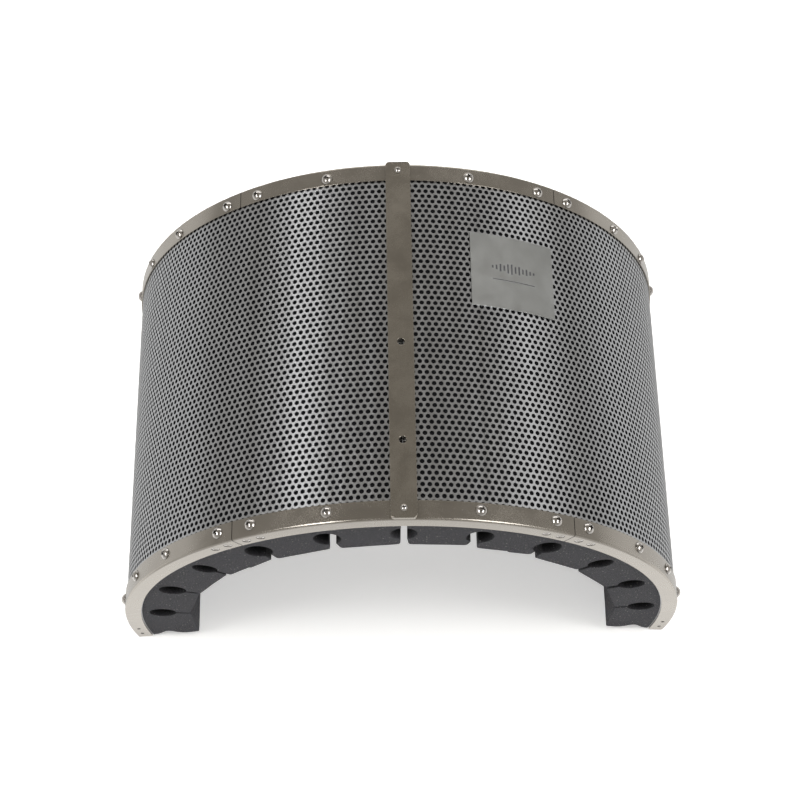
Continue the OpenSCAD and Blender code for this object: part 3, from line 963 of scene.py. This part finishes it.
def panel_outline(side):
    """Closed plan outline of one foam panel; worked out on the right and mirrored for the left."""
    keys, faces = KEYS[side], FACES[side]

    def at(k, t, depth):
        a = k * KEY_P / R
        x, y = plan(k * KEY_P, depth)
        return np.array([x + t * math.cos(a), y + t * math.sin(a)])

    def oval(k, th):
        dc, rt, rm = keys[k][:3]
        return at(k, rt * math.cos(th), dc + rm * math.sin(th))

    def wall_angle(k, t):
        return math.acos(t / keys[k][1])

    t0 = keys[0][5]
    s_in = t0
    out = [np.array(plan(s, BACK)) for s in np.linspace(FREE_S, s_in, 130)]
    w = wall_angle(0, t0)
    out += [oval(0, th) for th in np.linspace(-w, w, 20)]
    throat = out[-1]
    start = at(0, keys[0][6], faces[0][0])
    for b in range(6):
        if b < 5:
            dc, rt, rm, ni, nm, fo, fm = keys[b + 1]
            end = at(b + 1, nm, faces[b][1])
            wi = wall_angle(b + 1, ni)
            nxt = oval(b + 1, wi)
        else:
            end = np.array(plan(FREE_S - 1.0, faces[b][1]))
            nxt = np.array(plan(FREE_S, 41.0))
        mid = []
        st = STEPS.get((side, b))
        if st:
            s_c, da, db = st
            f = (s_c - b * KEY_P) / KEY_P
            hit = start + (end - start) * f
            a = s_c / R
            inw, tan = np.array([-math.sin(a), math.cos(a)]), np.array([math.cos(a), math.sin(a)])
            mid = [hit + inw * da - tan * 0.7, hit + inw * db + tan * 0.7]
        seq = [start] + mid + [end]
        r0, r1 = (3.0, 3.0) if b < 2 else (2.0, 2.0)
        out += fillet(throat, seq[0], seq[1], r0)
        for i, (p, q) in enumerate(zip(seq[:-1], seq[1:])):
            L = np.linalg.norm(q - p)
            lead = 4.2 if i == 0 else 0.5
            tail = 4.2 if i == len(seq) - 2 else 0.5
            m = max(1, int((L - lead - tail) / 3.5))
            if L < 4:
                out += [p + (q - p) * 0.15, p + (q - p) * 0.85]
            else:
                out += [p + (q - p) * (lead + (L - lead - tail) * k / m) / L for k in range(m + 1)]
        out += fillet(seq[-2], seq[-1], nxt, r1)
        if b < 5:
            wo = wall_angle(b + 1, fo)
            out += [oval(b + 1, th) for th in np.linspace(wi, 2 * math.pi + wo, 36)]
            throat = out[-1]
            start = at(b + 1, fm, faces[b + 1][0])
        else:
            for d in np.linspace(41.0, BACK + 0.6, 20):
                out.append(np.array(plan(FREE_S - FREE_DIP * math.exp(-((d - 26.0) / 7.0) ** 2), d)))
    clean = []
    for p in out:
        if not clean or np.linalg.norm(p - clean[-1]) > 0.12:
            clean.append(p)
    if np.linalg.norm(clean[0] - clean[-1]) < 0.12:
        clean.pop()
    P = np.array(clean)
    P[:, 0] *= side
    return P


def wobble(x, y, z, seed):
    return (math.sin(x * 0.11 + seed) * math.sin(z * 0.083 + 1.7 * seed) + 0.6 * math.sin(y * 0.19 + z * 0.05 + seed * 2.1)
            + 0.4 * math.sin(x * 0.31 - z * 0.27 + seed))


def foam_ob(name, side):
    P = panel_outline(side)
    area = 0.5 * np.sum(P[:, 0] * np.roll(P[:, 1], -1) - np.roll(P[:, 0], -1) * P[:, 1])
    if area < 0:
        P = P[::-1]
    T = np.roll(P, -1, 0) - np.roll(P, 1, 0)
    T /= np.linalg.norm(T, axis=1)[:, None]
    Nn = np.column_stack([T[:, 1], -T[:, 0]])      # outward for an anticlockwise outline
    lo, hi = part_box("foam_right")
    za, zb = lo.z / MM, hi.z / MM
    e = 0.35
    zs = [za, za + 0.05, za + 0.15, za + e] + list(np.linspace(za + e, zb - e, 46)[1:-1]) + [zb - e, zb - 0.15, zb - 0.05, zb]
    ins = [0.35, 0.2, 0.06, 0.0] + [0.0] * 44 + [0.0, 0.06, 0.2, 0.35]
    rings = []
    n = len(P)
    r = np.hypot(P[:, 0], P[:, 1] - AY)
    for z, k in zip(zs, ins):
        w = np.array([0.16 * wobble(x, y, z, side * 1.3) for x, y in P])
        w = np.where(r > R - BACK - 0.5, 0.0, w)
        Q = P + Nn * (w - k)[:, None]
        rings.append(np.column_stack([Q, np.full(n, z)]))
    V = np.concatenate(rings)
    idx = np.arange(n)
    quads = np.concatenate([np.column_stack([a * n + idx, a * n + (idx + 1) % n, (a + 1) * n + (idx + 1) % n, (a + 1) * n + idx])
                            for a in range(len(zs) - 1)])
    tris = cap_triangles(rings[0][:, :2])
    ob = raw_mesh(name, V, [quads, tris[:, ::-1], tris + (len(zs) - 1) * n], 50)
    flat = np.ones(len(ob.data.polygons), bool)
    flat[len(quads):] = False
    ob.data.polygons.foreach_set("use_smooth", flat)
    return ob


def cap_triangles(Q):
    """Triangles that fill a plan outline, none outside it."""
    n = len(Q)
    res = delaunay_2d_cdt([Vector((float(x), float(y))) for x, y in Q], [(i, (i + 1) % n) for i in range(n)], [], 1, 1e-5)
    back = [o[0] for o in res[3]]
    if len(res[0]) != n:
        raise RuntimeError("a foam outline crosses itself")
    tri = np.array([[back[i] for i in f] for f in res[2]])
    a, b, c = Q[tri[:, 0]], Q[tri[:, 1]], Q[tri[:, 2]]
    turn = (b[:, 0] - a[:, 0]) * (c[:, 1] - a[:, 1]) - (b[:, 1] - a[:, 1]) * (c[:, 0] - a[:, 0])
    tri[turn < 0] = tri[turn < 0][:, ::-1]
    return tri


for side, word in ((-1, "left"), (1, "right")):
    ob = foam_ob(f"foam_{word}_look", side)
    paint(ob, M_FOAM)
    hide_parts(f"foam_{word}")
    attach(ob, "root")

# ------------------------------------------------------------------ CAD nodes that stay
for n, m in (("core_fleece", M_FLEECE), ("rim_nuts_bottom", M_NUT), ("rim_nuts_top", M_NUT), ("strip_nuts", M_NUT),
             ("bracket_nuts", M_NUT), ("splice_bottom_left", M_SPLICE), ("splice_bottom_right", M_SPLICE),
             ("splice_top_left", M_SPLICE), ("splice_top_right", M_SPLICE)):
    ob = frame["nodes"][n]
    ob.data.materials.clear()
    ob.data.materials.append(m.m)


# ------------------------------------------------------------------ stage
def plane(name, corners):
    me = bpy.data.meshes.new(name)
    me.from_pydata([Vector(c) for c in corners], [], [(0, 1, 2, 3)])
    ob = link(bpy.data.objects.new(name, me))
    return ob


def floor_mat(name, albedo, base=0.0, mirrored=None):
    """One-sided white. base is added for the camera only; mirrored, a list of (z, level),
    is what polished metal sees of it."""
    m = bpy.data.materials.new(name)
    m.use_nodes = True
    t = m.node_tree
    t.nodes.clear()
    out = t.nodes.new("ShaderNodeOutputMaterial")
    dif = t.nodes.new("ShaderNodeBsdfDiffuse")
    dif.inputs["Color"].default_value = (albedo, albedo, albedo * 0.995, 1)
    front = dif.outputs[0]
    if base:
        lp = t.nodes.new("ShaderNodeLightPath")
        em = t.nodes.new("ShaderNodeEmission")
        em.inputs["Strength"].default_value = base
        add = t.nodes.new("ShaderNodeAddShader")
        t.links.new(dif.outputs[0], add.inputs[0])
        t.links.new(em.outputs[0], add.inputs[1])
        cam_mix = t.nodes.new("ShaderNodeMixShader")
        t.links.new(lp.outputs["Is Camera Ray"], cam_mix.inputs[0])
        t.links.new(dif.outputs[0], cam_mix.inputs[1])
        t.links.new(add.outputs[0], cam_mix.inputs[2])
        front = cam_mix.outputs[0]
    # painted reflection: glossy rays see an emission stepped by z in place of the lit plane
    if mirrored:
        tc = t.nodes.new("ShaderNodeTexCoord")
        sp = t.nodes.new("ShaderNodeSeparateXYZ")
        mr = t.nodes.new("ShaderNodeMapRange")
        cr = t.nodes.new("ShaderNodeValToRGB")
        gl = t.nodes.new("ShaderNodeEmission")
        gl.inputs["Strength"].default_value = 2.0
        z0, z1 = mirrored[0][0], mirrored[-1][0]
        t.links.new(tc.outputs["Object"], sp.inputs[0])
        t.links.new(sp.outputs["Z"], mr.inputs[0])
        for k, v in ((1, z0), (2, z1), (3, 0.0), (4, 1.0)):
            mr.inputs[k].default_value = v
        t.links.new(mr.outputs[0], cr.inputs[0])
        el = cr.color_ramp.elements
        while len(el) < len(mirrored):
            el.new(0.5)
        for k, (z, v) in enumerate(mirrored):
            el[k].position = (z - z0) / (z1 - z0)
            el[k].color = (v / 2, v / 2, v / 2 * 0.99, 1)
        t.links.new(cr.outputs["Color"], gl.inputs["Color"])
        gmix = t.nodes.new("ShaderNodeMixShader")
        t.links.new(lp.outputs["Is Glossy Ray"], gmix.inputs[0])
        t.links.new(front, gmix.inputs[1])
        t.links.new(gl.outputs[0], gmix.inputs[2])
        front = gmix.outputs[0]
    tra = t.nodes.new("ShaderNodeBsdfTransparent")
    mix = t.nodes.new("ShaderNodeMixShader")
    geo = t.nodes.new("ShaderNodeNewGeometry")
    t.links.new(geo.outputs["Backfacing"], mix.inputs[0])
    t.links.new(front, mix.inputs[1])
    t.links.new(tra.outputs[0], mix.inputs[2])
    t.links.new(mix.outputs[0], out.inputs["Surface"])
    return m


B = 5.0
back_y = cad_hi.y + 0.0004
# the plane the two free ends rest on, as the shield lies in the main view; faces -Y
rest_plane = plane("rest_plane", [(-B, back_y, -B), (B, back_y, -B), (B, back_y, B), (-B, back_y, B)])
# painted reflection: the (z, level) list sets how bright the metal mirrors the plane at each z
rest_plane.data.materials.append(floor_mat(
    "rest_white", 0.86, 0.41, [(-0.125, 0.75), (-0.105, 0.92), (-0.082, 1.27), (-0.012, 1.27), (0.015, 0.85)]))
rest_plane.visible_shadow = False
# the floor under the shield when it stands upright; faces +Z
floor = plane("floor", [(-B, -B, -0.0006), (B, -B, -0.0006), (B, B, -0.0006), (-B, B, -0.0006)])
floor.data.materials.append(floor_mat("floor_white", 0.86))
floor.visible_shadow = False
floor.visible_diffuse = False
floor.visible_glossy = False
floor.visible_transmission = False


def area(name, loc, target, sx, sy, power, color=(1, 1, 1)):
    l = bpy.data.lights.new(name, "AREA")
    l.shape, l.size, l.size_y, l.energy, l.color = "RECTANGLE", sx, sy, power, color
    ob = link(bpy.data.objects.new(name, l))
    ob.location = loc
    ob.rotation_mode = "QUATERNION"
    ob.rotation_quaternion = (Vector(target) - Vector(loc)).to_track_quat("-Z", "Y")
    ob.visible_camera = False
    return ob


near_l = area("near_box", (0.0, -2.2, 0.14), (0, 0.0, 0.14), 2.6, 0.9, 40, (1.0, 0.985, 0.96))
near_l.visible_glossy = False          # it lights the foam and the floor, not the polished metal
for side_l in (area("left_box", (-1.45, -1.7, 0.0), (0, 0, 0.14), 0.5, 1.2, 18),
               area("right_box", (1.55, -1.6, 0.0), (0, 0, 0.14), 0.8, 1.2, 18)):
    side_l.visible_glossy = False
# what the metal mirrors of the side lights stands lower, clear of the bands
for side_l in (area("left_gleam", (-1.25, -1.9, -0.55), (0, 0, 0.14), 0.5, 1.6, 20),
               area("right_gleam", (1.35, -1.8, -0.55), (0, 0, 0.14), 0.8, 1.6, 20)):
    side_l.visible_diffuse = False
area("far_box", (0.0, -1.2, 2.2), (0, 0.0, 0.14), 2.4, 1.0, 12)


def linked(name, obs):
    c = bpy.data.collections.new(name)
    for o in obs:
        c.objects.link(o)
    return c


# two narrow strip lights that only rake the perforated sheet
rake = linked("raked", sheets)
for nm, dirn, sx, power in (("rake_left", (-0.59, -0.70, 0.30), 0.16, 2.6), ("rake_right", (0.76, -0.50, 0.30), 0.5, 2.0)):
    d = Vector(dirn).normalized() * 1.8
    l = area(nm, (d.x, d.y, d.z + 0.14), (0, 0, 0.14), sx, 1.5, power)
    l.light_linking.receiver_collection = rake

world = bpy.data.worlds.new("studio")
bpy.context.scene.world = world
world.use_nodes = True
wt = world.node_tree
wt.nodes.clear()
wo = wt.nodes.new("ShaderNodeOutputWorld")
bg = wt.nodes.new("ShaderNodeBackground")
bgc = wt.nodes.new("ShaderNodeBackground")
mx = wt.nodes.new("ShaderNodeMixShader")
lp = wt.nodes.new("ShaderNodeLightPath")
tc = wt.nodes.new("ShaderNodeTexCoord")
sep = wt.nodes.new("ShaderNodeSeparateXYZ")
mr = wt.nodes.new("ShaderNodeMapRange")
rp = wt.nodes.new("ShaderNodeValToRGB")
wt.links.new(tc.outputs["Generated"], sep.inputs[0])
wt.links.new(sep.outputs["Y"], mr.inputs[0])
mr.inputs[1].default_value, mr.inputs[2].default_value = -1.0, 1.0
mr.inputs[3].default_value, mr.inputs[4].default_value = 0.0, 1.0
wt.links.new(mr.outputs[0], rp.inputs[0])
e = rp.color_ramp.elements
e[0].position, e[0].color = 0.0, (0.26, 0.245, 0.22, 1)
e[1].position, e[1].color = 0.5, (0.46, 0.45, 0.43, 1)
e.new(0.72).color = (0.85, 0.85, 0.84, 1)
wt.links.new(rp.outputs[0], bg.inputs[0])
bg.inputs[1].default_value = 1.0
bgc.inputs[0].default_value = (1, 1, 1, 1)
bgc.inputs[1].default_value = 1.0
wt.links.new(lp.outputs["Is Camera Ray"], mx.inputs[0])
wt.links.new(bg.outputs[0], mx.inputs[1])
wt.links.new(bgc.outputs[0], mx.inputs[2])
wt.links.new(mx.outputs[0], wo.inputs[0])

# ------------------------------------------------------------------ camera
cam = bpy.data.cameras.new("camera")
cam.sensor_width, cam.lens = 36.0, 77.189
camo = link(bpy.data.objects.new("camera", cam))
bpy.context.scene.camera = camo
yaw, phi, roll = 0.0150257, 0.4393996, -0.0181182
fwd = Vector((math.sin(yaw) * math.cos(phi), math.cos(yaw) * math.cos(phi), math.sin(phi)))
right = Vector((math.cos(yaw), -math.sin(yaw), 0))
up = Vector((-math.sin(yaw) * math.sin(phi), -math.cos(yaw) * math.sin(phi), math.cos(phi)))
c, s = math.cos(roll), math.sin(roll)
rc, uc = c * right + s * up, -s * right + c * up
m = Matrix((rc, uc, -fwd)).transposed().to_4x4()
m.translation = Vector((-0.017888, -1.225418, -0.426162))
camo.matrix_world = m
cam.clip_start, cam.clip_end = 0.05, 30

sc = bpy.context.scene
sc.view_settings.view_transform = "Standard"
sc.view_settings.look = "None"
sc.view_settings.exposure = 0.0
sc.view_settings.gamma = 1.0
